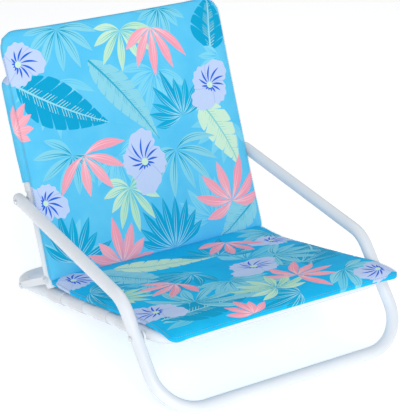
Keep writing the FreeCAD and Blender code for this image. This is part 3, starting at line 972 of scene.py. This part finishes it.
# ----------------------------------------
# Pocket: one printed sheet sewn to the back of the cushion along its top and sides. It slips
# over the top of the back bow, and its open lower edge has a turned and stitched hem.
hood_names = ["hood_rear_panel", "hood_boxing"]
hood_low, hood_high = local_box(hood_names, back_place)
hood_cloth = 0.0010


def hood_mesh():
    """Sheet bent round the bow: its rear face, rounded side and top strips, and the hem's roll."""
    half = hood_high.x - 0.0004
    depth_front = hood_high.z
    depth_rear = hood_low.z
    bend = 0.012
    arc = []
    for step in range(1, 7):
        turn = math.radians(90 * step / 6)
        arc.append((bend * (1 - math.cos(turn)), depth_rear + bend * (1 - math.sin(turn))))
    front = [(0.0075, depth_front + 0.0080), (0.0058, depth_front + 0.0050), (0.0026, depth_front + 0.0005)]
    side_start = depth_front - 0.004
    strip = front + [(0.0, side_start + (depth_rear + bend - depth_front + 0.004) * k / 5) for k in range(6)]
    strip += arc
    rows = 34
    low, high = hood_low.y, hood_high.y
    corner = 0.020
    shape = bmesh.new()
    loop = []
    for step in range(rows + 1):
        loop.append(Vector((half, low + (high - corner - low) * step / rows, 0)))
    for step in range(1, 8):
        turn = math.radians(90 * step / 8)
        across, up = corner * math.cos(turn), corner * math.sin(turn)
        loop.append(Vector((half - corner + across, high - corner + up, 0)))
    columns = 60
    for step in range(columns + 1):
        loop.append(Vector((half - corner - (2 * (half - corner)) * step / columns, high, 0)))
    loop += [Vector((-p.x, p.y, 0)) for p in reversed(loop[:rows + 8])]
    rings = []
    for k, p in enumerate(loop):
        ahead = loop[min(k + 1, len(loop) - 1)]
        behind = loop[max(k - 1, 0)]
        inward = Vector((0, 0, 1)).cross(ahead - behind).normalized()
        rings.append([shape.verts.new((p.x + inward.x * a, max(low, p.y + inward.y * a), z)) for a, z in strip])
    for first, second in zip(rings, rings[1:]):
        for k in range(len(strip) - 1):
            shape.faces.new((first[k], first[k + 1], second[k + 1], second[k]))
    inner = [ring[-1] for ring in rings]
    lines = [inner]
    for step in range(1, 14):
        shrink = step / 14
        line = []
        for v in inner:
            target = Vector((v.co.x * (1 - shrink), low + (v.co.y - low) * (1 - shrink * 0.5), depth_rear))
            line.append(shape.verts.new(target))
        lines.append(line)
    for first, second in zip(lines, lines[1:]):
        for k in range(len(first) - 1):
            shape.faces.new((first[k], second[k], second[k + 1], first[k + 1]))
    last = lines[-1]
    for k in range(len(last) // 2):
        a, b = last[k], last[k + 1]
        c, d = last[len(last) - 2 - k], last[len(last) - 1 - k]
        if len({a, b, c, d}) == 4:
            shape.faces.new((a, d, c, b))
        elif len({a, b, c, d}) == 3:
            shape.faces.new(list(dict.fromkeys((a, d, c, b))))
    return as_mesh(shape, "hood", outward=True)


sheet_mesh = hood_mesh()
for v in sheet_mesh.vertices:
    x, y, z = v.co
    rear = max(0.0, min(1.0, (hood_low.z + 0.004 - z) / 0.004))
    dent = noise.noise(Vector((x * 14, y * 14, 5.5))) * 0.0016
    dent += noise.noise(Vector((x * 40, y * 40, 9.5))) * 0.0006
    inner = max(0.0, min(1.0, min(hood_high.x - abs(x), hood_high.y - y) / 0.05))
    v.co.z += rear * (inner * (0.0012 + dent))
    slack = math.sin(math.pi * min(1.0, max(0.0, (y - hood_low.y) / (hood_high.y - hood_low.y))))
    if abs(x) > hood_high.x - 0.003:
        v.co.x += math.copysign(0.0010 * slack + 0.0004 * noise.noise(Vector((z * 60, y * 40, 2))), x)
sheet_mesh.transform(back_place)
hood = mesh_piece("hood_pocket", sheet_mesh, back_canvas, "backrest")
thicken = hood.modifiers.new("cloth", "SOLIDIFY")
thicken.thickness = hood_cloth
thicken.offset = -1.0
applied(hood)
for face in hood.data.polygons:
    face.use_smooth = True
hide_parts(*hood_names)
hem = bmesh.new()
hem_points = []
for step in range(81):
    x = -hood_high.x + 0.016 + (2 * hood_high.x - 0.032) * step / 80
    hem_points.append(Vector((x, hood_low.y + 0.010, hood_low.z + 0.0002)))
stitch_line(hem, hem_points, [Vector((0, 0, -1))] * len(hem_points), 0.0032, 0.0012, 0.0004)
hem_mesh = as_mesh(hem, "hem")
hem_mesh.transform(back_place)
hem_stitches = mesh_piece("hood_hem_stitches", hem_mesh, cushion_thread, "backrest")

# ----------------------------------------
# Studio: a pale floor, a bright surround, a wide soft light from the front and a weaker one above.
# The camera looks down on the chair from its front left.
floor_mesh = bpy.data.meshes.new("floor")
floor_mesh.from_pydata([(-9, -9, 0), (9, -9, 0), (9, 9, 0), (-9, 9, 0)], [], [(0, 1, 2, 3)])
floor = bpy.data.objects.new("floor", floor_mesh)
bpy.context.scene.collection.objects.link(floor)
floor_material, floor_tree, floor_place, floor_shader = finish("studio_floor", 0.9)
dust = grain(floor_tree, floor_place, 3.0)
floor_tree.links.new(mixed(floor_tree, dust, (0.93, 0.93, 0.935, 1), (0.95, 0.95, 0.95, 1)),
                     floor_shader.inputs["Base Color"])
floor_shader.inputs["Emission Color"].default_value = (1, 1, 1, 1)
floor_shader.inputs["Emission Strength"].default_value = 0.36
floor_mesh.materials.append(floor_material)

world = bpy.data.worlds.new("studio")
bpy.context.scene.world = world
bpy.context.scene.view_settings.view_transform = "Standard"
world.use_nodes = True
sky_tree = world.node_tree
sky_place = node(sky_tree, "TexCoord").outputs["Generated"]
sky_height = node(sky_tree, "SeparateXYZ", {0: sky_place}).outputs[2]
sky_light = ranged(sky_tree, sky_height, 0.0, 0.8, 0.92, 0.44)
sky_tree.links.new(sky_light, sky_tree.nodes["Background"].inputs[1])
sky_tree.nodes["Background"].inputs[0].default_value = (0.97, 0.985, 1.0, 1.0)


def soft_light(name, place, aim, size, power):
    """Square soft box turned to the chair."""
    lamp = bpy.data.lights.new(name, "AREA")
    lamp.size = size
    lamp.energy = power
    box = bpy.data.objects.new(name, lamp)
    box.location = place
    box.rotation_euler = (Vector(aim) - Vector(place)).to_track_quat("-Z", "Y").to_euler()
    bpy.context.scene.collection.objects.link(box)


soft_light("front_box", (-1.2, -2.6, 1.5), (0, 0, 0.25), 1.6, 46)
soft_light("top_box", (0.8, 0.6, 2.4), (0, 0, 0.2), 1.4, 10)

camera_turn = math.radians(-32.239)
camera_rise = math.radians(23.104)
camera_target = Vector((0, -0.01155, 0.21917))
camera_back = Vector((math.sin(camera_turn) * math.cos(camera_rise),
                      -math.cos(camera_turn) * math.cos(camera_rise), math.sin(camera_rise)))
lens = bpy.data.cameras.new("camera")
lens.sensor_width = 36
lens.lens = 137.72
camera = bpy.data.objects.new("camera", lens)
camera.location = camera_target + camera_back * 2.7912
camera.rotation_euler = (-camera_back).to_track_quat("-Z", "Y").to_euler()
bpy.context.scene.collection.objects.link(camera)
bpy.context.scene.camera = camera
